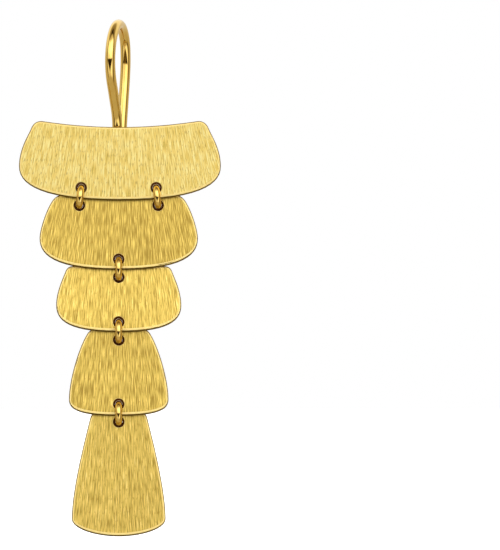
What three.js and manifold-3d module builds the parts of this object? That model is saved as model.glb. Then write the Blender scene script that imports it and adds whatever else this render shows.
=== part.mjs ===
// A chandelier drop earring of five flat brushed-gold plates that hang one below the other on round jump
// rings. The top plate is soldered to a round-wire French hook. Each lower plate hangs behind the bottom edge
// above it. Millimetres, +Z up, the front faces -Y. The origin is the inside of the hook's bend, where it sits
// on the lobe.
import * as THREE from "three";
import { mergeVertices } from "three/addons/utils/BufferGeometryUtils.js";
import Module from "manifold-3d";

const wasm = await Module();
wasm.setup();

// Driving dimensions.
const PLATE_THICKNESS = 0.4;
const PLATE_GAP = 0.1; // air between the back of one plate and the front of the next, where they overlap
const HOLE_RADIUS = 0.6;
const DRILL_OVERRUN = 0.4; // past each face of the plate
const RING_RADIUS = 0.9; // to the middle of the jump ring's wire
const RING_WIRE_RADIUS = 0.34;
const HOOK_WIRE_RADIUS = 0.5;
const SOLDER_DEPTH = 0.06; // how far the soldered leg of the hook sinks into the back of the top plate

// The fineness of round shapes.
const CURVE_STEPS = 14; // on each stretch of a plate's outline
const HOLE_STEPS = 24;
const RING_STEPS = 32;
const RING_WIRE_STEPS = 12;
const HOOK_STEPS = 80;
const HOOK_WIRE_STEPS = 14;
const SEAM_TOLERANCE = 1e-5; // closer points are one

// What follows from them.
const SHINGLE = PLATE_THICKNESS + PLATE_GAP; // the step back from one plate to the next
const RING_REACH = Math.sqrt(RING_RADIUS ** 2 - (SHINGLE / 2) ** 2); // from a ring's centre to the holes

// Each row is a plate. topZ and wideZ are the heights of the top corners and of the widest place, measured
// from the hook, and bottomZ is the lowest point. topMidZ is the height of the top edge at the middle, and
// shift moves the whole outline sideways from the holes. cornerR rounds the top corners. The rest says how
// full the outline is: how far the bottom edge runs level (flat), how far its ends rise straight (drop), how
// far the sides go straight up from the widest place (lift), and how fast they spread below a top corner
// (splay) and for how long (run).
const PLATES = [
  { topHalf: 8.4, topZ: -8.88, topMidZ: -9.6, wideHalf: 9.92, wideZ: -13.49, bottomZ: -16.8, shift: 0.12,
    cornerR: 0.9, flat: 0.76, drop: 0.56, lift: 0.39, splay: 0.39, run: 0.14 },
  { topHalf: 6.16, topZ: -16.27, topMidZ: -16.12, wideHalf: 7.78, wideZ: -20.56, bottomZ: -23.63, shift: 0,
    cornerR: 0.6, flat: 0.84, drop: 0.49, lift: 0.21, splay: 0.66, run: 0.21 },
  { topHalf: 5.04, topZ: -23.27, topMidZ: -23.24, wideHalf: 6.15, wideZ: -27.12, bottomZ: -29.75, shift: 0,
    cornerR: 0.5, flat: 0.79, drop: 0.59, lift: 0.35, splay: 0.39, run: 0.17 },
  { topHalf: 2.84, topZ: -29.51, topMidZ: -29.41, wideHalf: 4.89, wideZ: -36.39, bottomZ: -37.99, shift: 0,
    cornerR: 0.4, flat: 0.78, drop: 0.65, lift: 0.27, splay: 0.62, run: 0.21 },
  { topHalf: 2.66, topZ: -37.63, topMidZ: -37.47, wideHalf: 4.61, wideZ: -48.12, bottomZ: -49.85, shift: 0,
    cornerR: 0.6, flat: 0.49, drop: 0.58, lift: 0.28, splay: 0.25, run: 0.18 },
];

// The rings' centres: how high they hang, how far from the middle, and how far a ring of a pair leans outwards
// (in radians).
const RING_ROWS = [
  { z: -16.42, side: 3.78, lean: 0.11 },
  { z: -23.49, side: 0, lean: 0 },
  { z: -29.66, side: 0, lean: 0 },
  { z: -37.72, side: 0, lean: 0 },
];
const LAST_PLATE_BALANCE = 7.0; // from the last ring down to the middle of the last plate's weight

// The hook lies in an upright plane that is turned a little, so that its back leg shows beside the front one.
// depth runs front to back in that plane. The list goes from the soldered end, over the lobe, to the free
// end.
const HOOK_TURN = 0.195; // sideways run for each millimetre of depth
const HOOK_LEAN = 0.023; // sideways run for each millimetre of height
const SOLDERED_LEG = HOOK_WIRE_RADIUS - PLATE_GAP / 2 - SOLDER_DEPTH; // its depth behind the rings' centres
const HOOK_ROUTE = [
  { depth: SOLDERED_LEG, z: -13.2 },
  { depth: SOLDERED_LEG, z: -11.2 },
  { depth: SOLDERED_LEG, z: -9.7 },
  { depth: 0.0, z: -8.5 },
  { depth: -1.6, z: -6.5 },
  { depth: -3.2, z: -4.5 },
  { depth: -3.65, z: -2.9 },
  { depth: -3.15, z: -1.15 },
  { depth: -1.75, z: 0.08 },
  { depth: 0.0, z: 0.5 },
  { depth: 1.7, z: 0.07 },
  { depth: 3.0, z: -1.15 },
  { depth: 3.5, z: -2.9 },
  { depth: 3.4, z: -4.8 },
  { depth: 2.95, z: -7.1 },
  { depth: 2.5, z: -9.6 },
  { depth: 2.4, z: -11.4 },
  { depth: 2.65, z: -13.3 },
];

const polished = () => new THREE.MeshStandardMaterial({ color: 0xd9a93a, roughness: 0.14, metalness: 1 });
const brushed = () => new THREE.MeshStandardMaterial({ color: 0xe0bd62, roughness: 0.4, metalness: 1 });

// A closed geometry as a manifold-3d solid.
function solid(geometry) {
  const bare = geometry.clone();
  bare.deleteAttribute("normal");
  bare.deleteAttribute("uv");
  const merged = mergeVertices(bare, SEAM_TOLERANCE);
  const vertProperties = new Float32Array(merged.attributes.position.array);
  const triVerts = new Uint32Array(merged.index.array);
  return new wasm.Manifold(new wasm.Mesh({ numProp: 3, vertProperties, triVerts }));
}

// A manifold-3d solid as a geometry.
function geometryOf(made) {
  const mesh = made.getMesh();
  const geometry = new THREE.BufferGeometry();
  geometry.setAttribute("position", new THREE.BufferAttribute(mesh.vertProperties, mesh.numProp));
  geometry.setIndex(new THREE.BufferAttribute(mesh.triVerts, 1));
  geometry.computeVertexNormals();
  return geometry;
}

// The outline of a plate, anticlockwise from its lowest point, with heights counted from baseZ.
function plateOutline(plate, baseZ) {
  const { topHalf, wideHalf, cornerR } = plate;
  const top = plate.topZ - baseZ;
  const topMid = plate.topMidZ - baseZ;
  const wide = plate.wideZ - baseZ;
  const bottom = plate.bottomZ - baseZ;
  const rise = top - wide;
  const level = plate.flat * wideHalf;
  const endsDown = wide - plate.drop * (wide - bottom);
  const sidesUp = wide + plate.lift * rise;
  const shoulderX = topHalf + plate.splay * cornerR;
  const shoulderZ = top - cornerR;
  const runX = shoulderX + plate.splay * plate.run * rise;
  const runZ = shoulderZ - plate.run * rise;
  const edgeX = topHalf - cornerR;
  const edgeZ = top + ((2 * (topMid - top)) / topHalf) * cornerR;

  const outline = new THREE.Shape();
  outline.moveTo(0, bottom);
  outline.bezierCurveTo(level, bottom, wideHalf, endsDown, wideHalf, wide);
  outline.bezierCurveTo(wideHalf, sidesUp, runX, runZ, shoulderX, shoulderZ);
  outline.quadraticCurveTo(topHalf, top, edgeX, edgeZ);
  outline.quadraticCurveTo(0, 2 * topMid - edgeZ, -edgeX, edgeZ);
  outline.quadraticCurveTo(-topHalf, top, -shoulderX, shoulderZ);
  outline.bezierCurveTo(-runX, runZ, -wideHalf, sidesUp, -wideHalf, wide);
  outline.bezierCurveTo(-wideHalf, endsDown, -level, bottom, 0, bottom);
  return outline;
}

// A drill for a hole at x, z through a plate whose middle is at middleY.
function drill(x, z, middleY) {
  const length = PLATE_THICKNESS + 2 * DRILL_OVERRUN;
  const bit = new THREE.CylinderGeometry(HOLE_RADIUS, HOLE_RADIUS, length, HOLE_STEPS);
  bit.translate(x, middleY, z);
  return bit;
}

// A plate cut from sheet in the XZ plane and drilled, as a manifold-3d solid.
function drilledPlate(plate, baseZ, middleY, holes) {
  const settings = { depth: PLATE_THICKNESS, bevelEnabled: false, curveSegments: CURVE_STEPS };
  const sheet = new THREE.ExtrudeGeometry(plateOutline(plate, baseZ), settings);
  sheet.rotateX(Math.PI / 2);
  sheet.translate(plate.shift, middleY + PLATE_THICKNESS / 2, 0);
  return holes.reduce((made, { x, z }) => made.subtract(solid(drill(x, z, middleY))), solid(sheet));
}

// The hook's wire, as a manifold-3d solid.
function hookWire() {
  const points = HOOK_ROUTE.map(
    ({ depth, z }) => new THREE.Vector3(depth * HOOK_TURN + z * HOOK_LEAN, depth, z),
  );
  const route = new THREE.CatmullRomCurve3(points, false, "centripetal");
  const section = new THREE.Shape().absarc(0, 0, HOOK_WIRE_RADIUS, 0, 2 * Math.PI);
  const settings = { steps: HOOK_STEPS, extrudePath: route, curveSegments: HOOK_WIRE_STEPS / 2 };
  return solid(new THREE.ExtrudeGeometry(section, settings));
}

// A closed jump ring, edge on to the front, with its axis along X and leaning by an angle about Y.
function jumpRing(name, row, side) {
  const profile = new THREE.Path().absarc(RING_RADIUS, 0, RING_WIRE_RADIUS, 0, 2 * Math.PI);
  const geometry = new THREE.LatheGeometry(profile.getPoints(RING_WIRE_STEPS / 2), RING_STEPS);
  geometry.rotateZ(Math.PI / 2);
  const ring = new THREE.Mesh(geometryOf(solid(geometry)), polished());
  ring.name = name;
  ring.position.set(side * row.side, 0, row.z);
  ring.rotation.y = -side * row.lean;
  return ring;
}

// The holes for a row of rings: at a ring's upper end in the plate above it, or at its lower end below.
function ringHoles(row, baseZ, end) {
  const sides = row.side > 0 ? [-1, 1] : [0];
  return sides.map((side) => ({
    x: side * (row.side - end * RING_REACH * Math.sin(row.lean)),
    z: row.z - baseZ + end * RING_REACH * Math.cos(row.lean),
  }));
}

// The top plate stands upright, with its middle half a shingle step in front of the rings' centres. The
// hook's front leg is soldered to its back.
function topPlateWithHook() {
  const plate = drilledPlate(PLATES[0], 0, -SHINGLE / 2, ringHoles(RING_ROWS[0], 0, 1));
  const mesh = new THREE.Mesh(geometryOf(plate.add(hookWire())), brushed());
  mesh.name = "top_plate_with_ear_wire";
  return mesh;
}

// A lower plate. It passes behind the rings above it and in front of the ring below it, so it leans a little,
// with its bottom edge forward. The last plate leans until its weight hangs under its ring.
function lowerPlate(name, index) {
  const above = RING_ROWS[index - 1];
  const below = RING_ROWS[index];
  const tilt = below
    ? Math.asin(SHINGLE / (above.z - below.z))
    : Math.atan(SHINGLE / 2 / LAST_PLATE_BALANCE);
  const holes = ringHoles(above, above.z, -1);
  if (below) {
    const fall = (above.z - below.z) * Math.cos(tilt);
    holes.push({ x: 0, z: RING_REACH - fall });
  }
  const made = drilledPlate(PLATES[index], above.z, SHINGLE / 2, holes);
  const mesh = new THREE.Mesh(geometryOf(made), brushed());
  mesh.name = name;
  mesh.position.z = above.z;
  mesh.rotation.x = -tilt;
  return mesh;
}

const group = new THREE.Group();
group.name = "chandelier_earring";
group.add(topPlateWithHook());
group.add(jumpRing("jump_ring_left", RING_ROWS[0], -1));
group.add(jumpRing("jump_ring_right", RING_ROWS[0], 1));
group.add(lowerPlate("second_plate", 1));
group.add(jumpRing("second_jump_ring", RING_ROWS[1], 0));
group.add(lowerPlate("third_plate", 2));
group.add(jumpRing("third_jump_ring", RING_ROWS[2], 0));
group.add(lowerPlate("fourth_plate", 3));
group.add(jumpRing("fourth_jump_ring", RING_ROWS[3], 0));
group.add(lowerPlate("fifth_plate", 4));

export default group;
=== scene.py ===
import math

import bmesh
import bpy
from mathutils import Matrix, Vector


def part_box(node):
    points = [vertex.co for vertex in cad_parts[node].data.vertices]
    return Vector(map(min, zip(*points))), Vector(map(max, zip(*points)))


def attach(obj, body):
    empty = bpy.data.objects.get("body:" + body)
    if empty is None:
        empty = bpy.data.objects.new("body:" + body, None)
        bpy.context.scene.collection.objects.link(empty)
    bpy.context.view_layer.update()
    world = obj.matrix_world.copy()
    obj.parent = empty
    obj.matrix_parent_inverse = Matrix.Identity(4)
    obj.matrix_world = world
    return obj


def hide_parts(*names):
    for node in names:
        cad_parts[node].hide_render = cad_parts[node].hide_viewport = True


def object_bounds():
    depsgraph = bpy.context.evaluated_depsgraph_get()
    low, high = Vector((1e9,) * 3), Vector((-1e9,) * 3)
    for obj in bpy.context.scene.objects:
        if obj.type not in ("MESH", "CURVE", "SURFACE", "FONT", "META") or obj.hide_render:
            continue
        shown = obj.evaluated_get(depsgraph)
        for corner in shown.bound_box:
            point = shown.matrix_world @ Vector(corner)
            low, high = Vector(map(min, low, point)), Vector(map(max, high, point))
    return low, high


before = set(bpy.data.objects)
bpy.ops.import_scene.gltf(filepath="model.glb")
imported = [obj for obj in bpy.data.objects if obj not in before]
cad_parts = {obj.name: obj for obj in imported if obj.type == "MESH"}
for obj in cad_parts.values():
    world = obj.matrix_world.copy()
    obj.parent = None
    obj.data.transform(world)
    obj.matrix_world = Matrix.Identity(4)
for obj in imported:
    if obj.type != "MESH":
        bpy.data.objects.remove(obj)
cad_low, cad_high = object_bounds()

# ---------------------------------------------------------------------------------------------------------
# The top plate: sheet metal sawn to an arched trapezoid, gold plated and brushed by hand from top to bottom.
# Its front edge is filed round, most of all along the bottom. It is drilled for two jump rings and soldered
# to the ear wire behind it.

MM = 0.001
SHEET = 0.4 * MM
EDGE_ROUNDING = 0.07 * MM  # how deep the rounding of an edge goes into the sheet
SIDE_WEAR = 0.2 * MM  # how far the front edge is worn back
BOTTOM_WEAR = 0.34 * MM  # and along the bottom
HOLE_WEAR = 0.06 * MM  # and round a hole
ROUNDING_STEPS = 5
# The filed metal carries painted shade, and the rounding past this turn carries the rim's painted highlight.
FILED_TURN = math.radians(56)  # how far round the edge, from the side, the filed metal reaches
WIDEST_HOLE = 1.3 * MM  # a rim that is wider is the outline
HOLE_MOUTH = 0.55 * MM  # the radius of each hole at the front and back of its wall
WAIST_WIDTH = 0.354 * MM  # and halfway through, where the wall comes close to the ring's wire
WAIST_HEIGHT = 0.367 * MM
WAIST_SLIP = 0.007 * MM  # how far it sits towards the middle of the ring
JOIN = 0.0005 * MM  # closer points are one
FRONT_FACING = -0.9  # a face to the front has a normal with less y than this
# FILED carries painted shade on the edges, DRILLED painted shade in the holes, and RIM_HIGHLIGHT a painted
# highlight on the rims.
BRUSHED, FILED, DRILLED, RIM_HIGHLIGHT = range(4)  # the materials of a plate


class Shade:
    """A number, colour or vector in a node tree. Arithmetic on a number adds Math nodes."""

    def __init__(self, tree, socket):
        self.tree = tree
        self.socket = socket

    def math(self, operation, first, second):
        return self.tree.add("ShaderNodeMath", {"operation": operation}, {0: first, 1: second})

    def __add__(self, other):
        return self.math("ADD", self, other)

    def __radd__(self, other):
        return self.math("ADD", other, self)

    def __sub__(self, other):
        return self.math("SUBTRACT", self, other)

    def __rsub__(self, other):
        return self.math("SUBTRACT", other, self)

    def __mul__(self, other):
        return self.math("MULTIPLY", self, other)

    def __rmul__(self, other):
        return self.math("MULTIPLY", other, self)

    def __truediv__(self, other):
        return self.math("DIVIDE", self, other)

    def __rtruediv__(self, other):
        return self.math("DIVIDE", other, self)


class Finish:
    """The nodes of a material or of the world."""

    def __init__(self, nodes):
        self.nodes = nodes
        self.nodes.nodes.clear()

    def add(self, kind, settings=None, inputs=None, output=0):
        """Adds a node. The settings are made first, and stops are those of a ramp."""
        node = self.nodes.nodes.new(kind)
        for name, setting in (settings or {}).items():
            if name == "stops":
                self.set_stops(node.color_ramp.elements, setting)
            else:
                setattr(node, name, setting)
        for name, value in (inputs or {}).items():
            if isinstance(value, Shade):
                self.nodes.links.new(value.socket, node.inputs[name])
            else:
                node.inputs[name].default_value = value
        return Shade(self, node.outputs[output]) if len(node.outputs) else None

    @staticmethod
    def set_stops(elements, stops):
        while len(elements) < len(stops):
            elements.new(1.0)
        for element, (place, colour) in zip(elements, stops):
            element.position = place
            element.color = colour if isinstance(colour, tuple) else (colour, colour, colour, 1.0)

    def axes(self):
        """The object's own x, y and z, in millimetres, so sizes in the materials are in millimetres too."""
        place = self.add("ShaderNodeTexCoord", output="Object")
        split = [self.add("ShaderNodeSeparateXYZ", None, {0: place}, axis) for axis in "XYZ"]
        return [along / MM for along in split]

    def noise(self, across, along, detail=2.0, roughness=0.5, seed=0.0):
        """Soft noise from 0 to 1 over two numbers."""
        place = self.add("ShaderNodeCombineXYZ", None, {"X": across + seed, "Y": along})
        settings = {"noise_dimensions": "2D"}
        inputs = {"Vector": place, "Scale": 1.0, "Detail": detail, "Roughness": roughness}
        return self.add("ShaderNodeTexNoise", settings, inputs, "Fac")

    def ramp(self, value, stops):
        """The colour or level at a value, from stops that are pairs of a place and a colour or level."""
        return self.add("ShaderNodeValToRGB", {"stops": stops}, {"Fac": value})

    def mix(self, share, first, second):
        """A colour between two others."""
        return self.add("ShaderNodeMix", {"data_type": "RGBA"}, {0: share, 6: first, 7: second}, 2)

    def bump(self, height, depth):
        return self.add("ShaderNodeBump", None, {"Height": height, "Distance": depth, "Strength": 1.0})

    def surface(self, inputs):
        shader = self.add("ShaderNodeBsdfPrincipled", None, inputs)
        self.add("ShaderNodeOutputMaterial", None, {"Surface": shader})

    def metal(self, colour, roughness, normal=None):
        bumps = {"Normal": normal} if normal else {}
        self.surface({"Metallic": 1.0, "Base Color": colour, "Roughness": roughness, **bumps})


def new_material(name):
    material = bpy.data.materials.new(name)
    material.use_nodes = True
    return material, Finish(material.node_tree)


def brushed_gold(name, low_z, high_z, painted_light_level, seed, painted_side_light=0.0):
    """Strokes of an abrasive pad from top to bottom, spreading a little from a point above the plate. Painted
    light and
    shade: a plate given a higher light level is painted paler, and its side light paints it paler towards +x
    for each millimetre."""
    material, finish = new_material(name)
    x, _, z = finish.axes()
    middle = (low_z + high_z) / 2 / MM
    fan_height = 36.0  # of that point above the middle of the plate
    across = x * fan_height / (fan_height + middle - z)
    fine = finish.noise(across / 0.075, z / 1.2, 0.0, 0.5, seed)
    strokes = finish.noise(across / 0.1, z / 8.0, 1.0, 0.5, seed + 20)
    wide = finish.noise(across / 0.45, z / 8.0, 1.0, 0.5, seed + 40)
    broad = finish.noise(across / 2.4, z / 4.0, 1.0, 0.5, seed + 60)
    nicks = finish.noise(across / 0.09, z / 0.45, 1.0, 0.5, seed + 80)
    grain = (fine - 0.5) * 0.9 + (strokes - 0.5) * 0.5 + (wide - 0.5) * 0.12 + (broad - 0.5) * 0.1
    # The grain, shifted by the plate's painted light level and by painted side light towards +x.
    shade = finish.ramp(
        0.5 + grain + painted_light_level + painted_side_light * x,
        [
            (0.0, (0.36, 0.24, 0.045, 1.0)),
            (0.40, (0.70, 0.50, 0.112, 1.0)),
            (0.62, (0.88, 0.645, 0.165, 1.0)),
            (0.95, (1.0, 0.86, 0.36, 1.0)),
        ],
    )
    dark_nicks = finish.ramp(nicks, [(0.62, 0.0), (0.72, 0.5)])
    colour = finish.mix(dark_nicks, shade, (0.36, 0.20, 0.03, 1.0))
    height = fine * 0.6 + strokes * 0.6 + wide * 0.3
    normal = finish.bump(height, 0.008 * MM)
    roughness = 0.3 + (1 - fine) * 0.14
    finish.metal(colour, roughness, normal)
    return material


def filed_gold():
    """The sawn and filed edge of the sheet, crossed by slanting file marks and painted darker as painted
    shade along the edge.
    """
    material, finish = new_material("filed_edge_painted_shade")
    x, _, z = finish.axes()
    marks = finish.noise((x + z) / 0.16, (x - z) / 1.2, 2.0, 0.6)
    # The file marks are real, and the dark brown of both colours is painted shade.
    colour = finish.mix(marks, (0.07, 0.04, 0.006, 1.0), (0.29, 0.18, 0.03, 1.0))
    finish.metal(colour, 0.34 + marks * 0.1, finish.bump(marks, 0.01 * MM))
    return material


def rim_highlight_gold():
    """The rounded rim of a plate, painted paler than the face as a painted highlight along the edge."""
    material, finish = new_material("rim_painted_highlight")
    x, _, z = finish.axes()
    # Painted highlight: a noise mottles the pale colour of the rim.
    highlight_mottle = finish.noise(x / 0.3, z / 0.3, 2.0, 0.6)
    colour = finish.mix(highlight_mottle, (0.95, 0.72, 0.26, 1.0), (1.0, 0.86, 0.40, 1.0))
    finish.metal(colour, 0.65)
    return material


def drilled_gold():
    """The wall of a drilled hole, painted dark as painted shade for the hollow of the hole."""
    material, finish = new_material("drilled_wall_painted_shade")
    x, _, z = finish.axes()
    # Painted shade: a noise mottles the near-black colour of the wall.
    shade_mottle = finish.noise(x / 0.2, z / 0.2, 2.0, 0.6)
    colour = finish.mix(shade_mottle, (0.02, 0.007, 0.002, 1.0), (0.09, 0.03, 0.007, 1.0))
    finish.surface({"Base Color": colour, "Roughness": 0.8, "Specular IOR Level": 0.0})
    return material


filed_edge = filed_gold()
drilled_wall = drilled_gold()
rim_highlight = rim_highlight_gold()


def front_of(node):
    """The flat front of a CAD plate, as a bmesh with its faces to the front."""
    flat = bmesh.new()
    flat.from_mesh(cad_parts[node].data)
    bmesh.ops.remove_doubles(flat, verts=flat.verts, dist=JOIN)
    flat.normal_update()
    face = max((f for f in flat.faces if f.normal.y < FRONT_FACING), key=lambda f: f.calc_area())
    towards, level = face.normal.copy(), face.normal.dot(face.calc_center_median())
    others = [f for f in flat.faces if any(abs(v.co.dot(towards) - level) > JOIN for v in f.verts)]
    bmesh.ops.delete(flat, geom=others, context="FACES")
    bmesh.ops.beautify_fill(flat, faces=flat.faces, edges=[e for e in flat.edges if not e.is_boundary])
    return flat, towards


def mark_rims(flat):
    """Marks each point of the rims with the way into the metal, and a hole's points with their way from its
    mouth to its waist."""
    inward = flat.verts.layers.float_vector.new("inward")
    taper = flat.verts.layers.float_vector.new("taper")
    hole = flat.verts.layers.int.new("hole")
    middle_z = sum((v.co.z for v in flat.verts), 0.0) / len(flat.verts)
    for face in flat.faces:
        for corner in face.loops:
            if corner.edge.is_boundary:
                ends = corner.vert, corner.link_loop_next.vert
                side = face.normal.cross(ends[1].co - ends[0].co).normalized()
                for end in ends:
                    end[inward] = Vector(end[inward]) + side
    for point in flat.verts:
        point[inward] = Vector(point[inward]).normalized()
    waiting = {e for e in flat.edges if e.is_boundary}
    while waiting:
        rim, open_edges = set(), [waiting.pop()]
        while open_edges:
            edge = open_edges.pop()
            rim.update(edge.verts)
            joined = {e for v in edge.verts for e in v.link_edges if e in waiting}
            waiting.difference_update(joined)
            open_edges.extend(joined)
        across = max(v.co.x for v in rim) - min(v.co.x for v in rim)
        if across > WIDEST_HOLE:
            continue
        centre = sum((v.co for v in rim), Vector()) / len(rim)
        slip = -WAIST_SLIP if centre.z < middle_z else WAIST_SLIP
        for point in rim:
            point[hole] = 1
            arm = (point.co - centre) * 2 / across
            point.co = centre + arm * HOLE_MOUTH
            point[taper] = arm * (WAIST_HEIGHT - HOLE_MOUTH)
            point[taper].x = arm.x * (WAIST_WIDTH - HOLE_MOUTH)
            point[taper].z += slip
    return inward, taper, hole


def grow(plate, faces, shift):
    """Extrudes a region, moves each point of its new outline by shift(point), and gives the region's faces
    and the ring of faces round it."""
    known = set(plate.faces)
    grown = bmesh.ops.extrude_face_region(plate, geom=faces)["geom"]
    for point in (g for g in grown if isinstance(g, bmesh.types.BMVert)):
        point.co += shift(point)
    region = [g for g in grown if isinstance(g, bmesh.types.BMFace)]
    return region, [f for f in plate.faces if f not in known and f not in set(region)]


def round_off(plate, region, outwards, reach):
    """Rounds the edges of a region as it grows outwards, reaching as far into it as reach(point) says."""
    turned = 0.0
    for step in range(1, ROUNDING_STEPS + 1):
        turn = step / ROUNDING_STEPS * math.pi / 2
        inset = math.cos(turned) - math.cos(turn)
        rise = outwards * (math.sin(turn) - math.sin(turned)) * EDGE_ROUNDING
        region, ring = grow(plate, region, lambda point: reach(point) * inset + rise)
        for face in ring:
            # The steep part of each rounding is filed metal with painted shade, and the part near the face is
            # a painted highlight.
            face.material_index = FILED if turn < FILED_TURN else RIM_HIGHLIGHT
            face.smooth = True
        turned = turn
    for face in region:
        face.material_index = BRUSHED
        face.smooth = False


def rounded_plate(node):
    """A plate with rounded edges and holes that are narrower halfway through, from its CAD outline."""
    plate, towards = front_of(node)
    inward, taper, hole = mark_rims(plate)
    down = Vector((1, 0, 0)).cross(towards)

    def worn(point):
        """How far the front edge is worn back, most of all at the bottom."""
        into = Vector(point[inward])
        lowest = max(0.0, -into.dot(down)) ** 2
        reach = HOLE_WEAR if point[hole] else SIDE_WEAR + lowest * (BOTTOM_WEAR - SIDE_WEAR)
        return into * reach

    for point in plate.verts:
        point.co -= towards * (SHEET - EDGE_ROUNDING)
    back = plate.faces[:]
    kept = bmesh.ops.duplicate(plate, geom=plate.faces[:])["geom"]
    front = [g for g in kept if isinstance(g, bmesh.types.BMFace)]
    half_wall = towards * (SHEET / 2 - EDGE_ROUNDING)
    for way in (1, -1):
        front, ring = grow(plate, front, lambda point: half_wall + Vector(point[taper]) * way)
        for face in ring:
            in_hole = all(v[hole] for v in face.verts)
            # Hole walls get the painted shade of the drilled wall, and outer walls get the filed edge with
            # its painted shade.
            face.material_index = DRILLED if in_hole else FILED
            face.smooth = not in_hole
    round_off(plate, front, towards, worn)
    bmesh.ops.reverse_faces(plate, faces=back)
    round_off(plate, back, -towards, lambda point: Vector(point[inward]) * EDGE_ROUNDING)
    bmesh.ops.remove_doubles(plate, verts=plate.verts, dist=JOIN)
    bmesh.ops.recalc_face_normals(plate, faces=plate.faces)
    return plate


def new_piece(name, shape, materials):
    """Makes a bmesh an object at the origin."""
    mesh = bpy.data.meshes.new(name)
    shape.to_mesh(mesh)
    shape.free()
    for material in materials:
        mesh.materials.append(material)
    piece = bpy.data.objects.new(name, mesh)
    bpy.context.scene.collection.objects.link(piece)
    return piece


def new_plate(name, node, body, painted_light_level, seed, painted_side_light=0.0):
    low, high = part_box(node)
    brushed = brushed_gold(f"brushed_gold_{name}", low.z, high.z, painted_light_level, seed, painted_side_light)
    piece = new_piece(name, rounded_plate(node), [brushed, filed_edge, drilled_wall, rim_highlight])
    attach(piece, body)
    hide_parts(node)
    return piece


# Its painted light level paints the top plate paler than the others, as the light falls on it.
new_plate("top_plate", "top_plate_with_ear_wire", "ear_wire_and_top_plate", painted_light_level=0.2, seed=3.0)

# ---------------------------------------------------------------------------------------------------------
# The ear wire: one length of round wire, polished, bent over into a French hook. Its front leg is soldered
# down the back of the top plate, and the back leg hangs free behind it.

WIRE_RADIUS = 0.5 * MM
WIRE_SIDES = 32
WIRE_STEPS = 12  # on each stretch of the route
END_STEPS = 5  # in the rounding of each end
END_FLAT = 0.12  # the flat spot on each end, as a share of the wire's width
HOOK_TURN = 0.195  # sideways run for each millimetre of depth
HOOK_LEAN = 0.023  # sideways run for each millimetre of height
HOOK_ROUTE = [  # depth and height in millimetres, from the soldered end to the free end
    (0.39, -13.2), (0.39, -11.2), (0.39, -9.7), (0.0, -8.5), (-1.6, -6.5), (-3.2, -4.5),
    (-3.65, -2.9), (-3.15, -1.15), (-1.75, 0.08), (0.0, 0.5), (1.7, 0.07), (3.0, -1.15),
    (3.5, -2.9), (3.4, -4.8), (2.95, -7.1), (2.5, -9.6), (2.4, -11.4), (2.65, -13.3),
]


def polished_gold():
    """Gold polished on a wheel, with a faint haze from use."""
    material, finish = new_material("polished_gold")
    x, y, z = finish.axes()
    haze = finish.noise(x / 0.5 + y / 0.5, z / 0.7, 3.0, 0.6)
    colour = finish.mix(haze, (0.76, 0.49, 0.12, 1.0), (0.85, 0.60, 0.18, 1.0))
    finish.metal(colour, 0.06 + haze * 0.06)
    return material


def smooth_route(knots):
    """Points on the centripetal Catmull-Rom curve through the knots."""
    ends = [2 * knots[0] - knots[1], *knots, 2 * knots[-1] - knots[-2]]
    points = []
    for before, start, end, after in zip(ends, ends[1:], ends[2:], ends[3:]):
        gaps = [math.sqrt((b - a).length) for a, b in ((before, start), (start, end), (end, after))]
        leave = (start - before) / gaps[0] - (end - before) / (gaps[0] + gaps[1]) + (end - start) / gaps[1]
        reach = (end - start) / gaps[1] - (after - start) / (gaps[1] + gaps[2]) + (after - end) / gaps[2]
        leave, reach = leave * gaps[1], reach * gaps[1]
        for step in range(WIRE_STEPS):
            t = step / WIRE_STEPS
            points.append(
                start + leave * t
                + (3 * (end - start) - 2 * leave - reach) * t ** 2
                + (2 * (start - end) + leave + reach) * t ** 3
            )
    return [*points, knots[-1]]


def drawn_wire(route, radius, sides):
    """A round wire along a route, with rounded ends. Each section is a place, a direction and a size."""
    wire = bmesh.new()
    ways = [(b - a).normalized() for a, b in zip(route, route[1:])]
    ways = [ways[0], *((a + b).normalized() for a, b in zip(ways, ways[1:])), ways[-1]]
    turns = [step / END_STEPS * math.pi / 2 for step in range(END_STEPS + 1)]
    sections = [(route[0] + ways[0] * radius * (1 - math.sin(t)), ways[0], math.cos(t)) for t in turns[:0:-1]]
    sections[0] = (*sections[0][:2], END_FLAT)
    inside = [
        (point, way, 1.0) for point, way in zip(route, ways)
        if (point - route[0]).length > radius and (point - route[-1]).length > radius
    ]
    sections += [(route[0] + ways[0] * radius, ways[0], 1.0), *inside]
    sections += [(route[-1] - ways[-1] * radius * (1 - math.sin(t)), ways[-1], math.cos(t)) for t in turns]
    sections[-1] = (*sections[-1][:2], END_FLAT)
    place, way, size = sections[0]
    turned = Vector((0, 0, 1)).rotation_difference(way).to_matrix().to_4x4()
    bmesh.ops.create_circle(
        wire, cap_ends=False, segments=sides, radius=radius,
        matrix=Matrix.Translation(place) @ turned @ Matrix.Scale(size, 4),
    )
    edges = wire.edges[:]
    bmesh.ops.contextual_create(wire, geom=edges)
    for next_place, next_way, next_size in sections[1:]:
        grown = bmesh.ops.extrude_edge_only(wire, edges=edges)["geom"]
        points = [g for g in grown if isinstance(g, bmesh.types.BMVert)]
        edges = [g for g in grown if isinstance(g, bmesh.types.BMEdge)]
        about = Matrix.Translation(-place)
        scale = Vector((next_size / size,) * 3)
        bmesh.ops.scale(wire, vec=scale, space=about, verts=points)
        bmesh.ops.rotate(
            wire, cent=place, matrix=way.rotation_difference(next_way).to_matrix(), verts=points
        )
        bmesh.ops.translate(wire, vec=next_place - place, verts=points)
        place, way, size = next_place, next_way, next_size
    bmesh.ops.contextual_create(wire, geom=edges)
    bmesh.ops.recalc_face_normals(wire, faces=wire.faces)
    for face in wire.faces:
        face.smooth = True
    return wire


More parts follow.
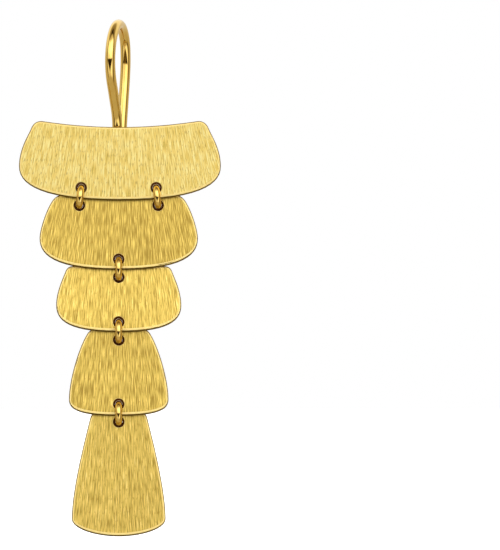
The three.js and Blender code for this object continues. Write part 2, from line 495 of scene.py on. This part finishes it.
polish = polished_gold()
hook_knots = [
    Vector((depth * HOOK_TURN + height * HOOK_LEAN, depth, height)) * MM for depth, height in HOOK_ROUTE
]
ear_wire = new_piece("ear_wire", drawn_wire(smooth_route(hook_knots), WIRE_RADIUS, WIRE_SIDES), [polish])
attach(ear_wire, "ear_wire_and_top_plate")
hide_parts("top_plate_with_ear_wire")

# ---------------------------------------------------------------------------------------------------------
# The jump rings: round wire coiled, cut and soldered shut, then polished. Two carry the second plate, and one
# hangs in the bottom hole of each plate below it.

RING_WIRE_RADIUS = 0.34 * MM
RING_SEGMENTS = 72
RING_WIRE_SIDES = 28
PAIR_LEAN = 0.11  # radians that a ring of the pair leans outwards


def jump_ring(name, node, body, lean):
    """A ring as large as its CAD node, in the same place."""
    low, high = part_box(node)
    centre = (low + high) / 2
    radius = (high.y - low.y) / 2 - RING_WIRE_RADIUS
    ring = bmesh.new()
    section = Matrix.Translation((0, 0, radius)) @ Matrix.Rotation(math.pi / 2, 4, "X")
    bmesh.ops.create_circle(
        ring, cap_ends=False, segments=RING_WIRE_SIDES, radius=RING_WIRE_RADIUS, matrix=section
    )
    bmesh.ops.spin(
        ring, geom=ring.verts[:] + ring.edges[:], cent=(0, 0, 0), axis=(1, 0, 0),
        angle=2 * math.pi, steps=RING_SEGMENTS, use_merge=True,
    )
    bmesh.ops.remove_doubles(ring, verts=ring.verts, dist=JOIN)
    bmesh.ops.rotate(ring, cent=(0, 0, 0), matrix=Matrix.Rotation(lean, 3, "Y"), verts=ring.verts)
    bmesh.ops.translate(ring, vec=centre, verts=ring.verts)
    bmesh.ops.recalc_face_normals(ring, faces=ring.faces)
    for face in ring.faces:
        face.smooth = True
    piece = new_piece(name, ring, [polish])
    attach(piece, body)
    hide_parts(node)


jump_ring("first_ring_left", "jump_ring_left", "second_tier", PAIR_LEAN)
jump_ring("first_ring_right", "jump_ring_right", "second_tier", -PAIR_LEAN)
jump_ring("second_ring", "second_jump_ring", "second_ring", 0.0)
jump_ring("third_ring", "third_jump_ring", "third_ring", 0.0)
jump_ring("fourth_ring", "fourth_jump_ring", "fourth_ring", 0.0)

# ---------------------------------------------------------------------------------------------------------
# The four lower plates, of the same sheet and finish as the top one. Each hangs with its top edge behind the
# plate above it, on the ring or the pair of rings that joins the two.

# Each plate's painted light level and painted side light paint the light and shade that fall on it.
new_plate("plate_two", "second_plate", "second_tier", painted_light_level=-0.31, seed=110.0, painted_side_light=-0.006)
new_plate("plate_three", "third_plate", "third_tier", painted_light_level=-0.17, seed=210.0, painted_side_light=-0.002)
new_plate("plate_four", "fourth_plate", "fourth_tier", painted_light_level=-0.25, seed=310.0)
new_plate("plate_five", "fifth_plate", "fifth_tier", painted_light_level=-0.13, seed=410.0, painted_side_light=-0.006)

# ---------------------------------------------------------------------------------------------------------
# The studio: a pale floor below the earring, and a white tent of soft light with a dark wedge in front, below
# the camera. The camera stands level with the middle of the earring and looks square on to the plates.

FLOOR_DROP = 14 * MM  # below the earring's lowest point
FLOOR_SIZE = 3.0  # metres
FLOOR_GLOW = 0.62  # keeps it pale
WEDGE_MIDDLE = 0.485  # round the tent, where 0.5 is the front
WEDGE_SLOPE = 0.6  # how fast the wedge narrows downwards
WEDGE_DARKNESS = 0.98  # the share of the light that it takes away
TENT_LIGHT = 0.87  # the strength of the whole tent
GROUND_LIGHT = 0.72  # of the ground, as a share of the tent's light
LENS = 500.0  # the lens and the sensor are in millimetres
SENSOR = 36.0
FRAME_HEIGHT = 54.1 * MM  # what the camera takes in at the plates
FRAME_MIDDLE = (12.91 * MM, -24.14 * MM)  # x and z

floor_shape = bmesh.new()
bmesh.ops.create_grid(floor_shape, x_segments=1, y_segments=1, size=FLOOR_SIZE / 2)
bmesh.ops.translate(floor_shape, vec=(0, 0, cad_low.z - FLOOR_DROP), verts=floor_shape.verts)
floor_material, floor_finish = new_material("pale_floor")
floor_finish.surface(
    {
        "Base Color": (0.9, 0.9, 0.9, 1.0),
        "Roughness": 0.8,
        "Emission Color": (1.0, 1.0, 1.0, 1.0),
        "Emission Strength": FLOOR_GLOW,
    }
)
floor = new_piece("floor", floor_shape, [floor_material])
floor.visible_glossy = False

world = bpy.data.worlds.new("studio")
bpy.context.scene.world = world
world.use_nodes = True
tent = Finish(world.node_tree)
direction = tent.add("ShaderNodeTexCoord", output="Generated")
east, north, up = [tent.add("ShaderNodeSeparateXYZ", None, {0: direction}, axis) for axis in "XYZ"]
azimuth = tent.add("ShaderNodeMath", {"operation": "ARCTAN2"}, {0: east, 1: 0.0 - north})
around = azimuth / math.tau + 0.5  # 0.5 is the front, and 0.75 is the +x side
height = tent.add("ShaderNodeMath", {"operation": "ARCSINE"}, {0: up}) / math.pi + 0.5  # 0.5 is level
sides = tent.ramp(
    around,
    [
        (0.0, 0.9), (0.2, 0.8), (0.28, 0.8), (0.298, 0.08), (0.32, 0.08), (0.338, 1.2), (0.43, 1.35),
        (0.46, 1.7), (0.5, 1.7), (0.55, 2.1), (0.62, 1.9), (0.67, 0.9), (0.69, 0.2), (0.72, 0.2),
        (0.76, 0.65), (0.85, 0.8), (1.0, 0.9),
    ],
)
levels = tent.ramp(
    height,
    [
        (0.27, 0.9), (0.5, 1.0), (0.56, 1.1), (0.64, 1.6), (0.74, 1.6), (0.82, 0.6), (0.92, 0.4),
        (0.95, 0.04),
    ],
)
ground = tent.ramp(height, [(0.2, 1.0), (0.27, 0.0)])
from_middle = tent.add("ShaderNodeMath", {"operation": "ABSOLUTE"}, {0: around - WEDGE_MIDDLE})
wedge = tent.ramp(from_middle + (0.5 - height) * WEDGE_SLOPE, [(0.14, 1.0), (0.175, 0.0)])
wedge_levels = tent.ramp(height, [(0.2, 0.0), (0.24, 1.0), (0.485, 1.0), (0.51, 0.0)])
walls = sides * levels * (1 - ground)
in_wedge = WEDGE_DARKNESS * wedge * wedge_levels
brightness = TENT_LIGHT * (walls + ground * GROUND_LIGHT) * (1 - in_wedge)
tint = tent.ramp(brightness, [(0.0, (1.0, 0.7, 0.4, 1.0)), (0.5, (1.0, 0.88, 0.6, 1.0)), (1.0, 1.0)])
light = tent.add("ShaderNodeBackground", None, {"Color": tint, "Strength": brightness})
backdrop = tent.add("ShaderNodeBackground", None, {"Color": (1.0, 1.0, 1.0, 1.0), "Strength": 1.0})
seen = tent.add("ShaderNodeLightPath", output="Is Camera Ray")
both = tent.add("ShaderNodeMixShader", None, {0: seen, 1: light, 2: backdrop})
tent.add("ShaderNodeOutputWorld", None, {"Surface": both})

camera_data = bpy.data.cameras.new("camera")
camera_data.lens = LENS
camera_data.sensor_width = SENSOR
camera = bpy.data.objects.new("camera", camera_data)
camera.location = (FRAME_MIDDLE[0], -FRAME_HEIGHT * LENS / SENSOR, FRAME_MIDDLE[1])
camera.rotation_euler = (math.pi / 2, 0, 0)
bpy.context.scene.collection.objects.link(camera)
bpy.context.scene.camera = camera
bpy.context.scene.view_settings.view_transform = "Standard"
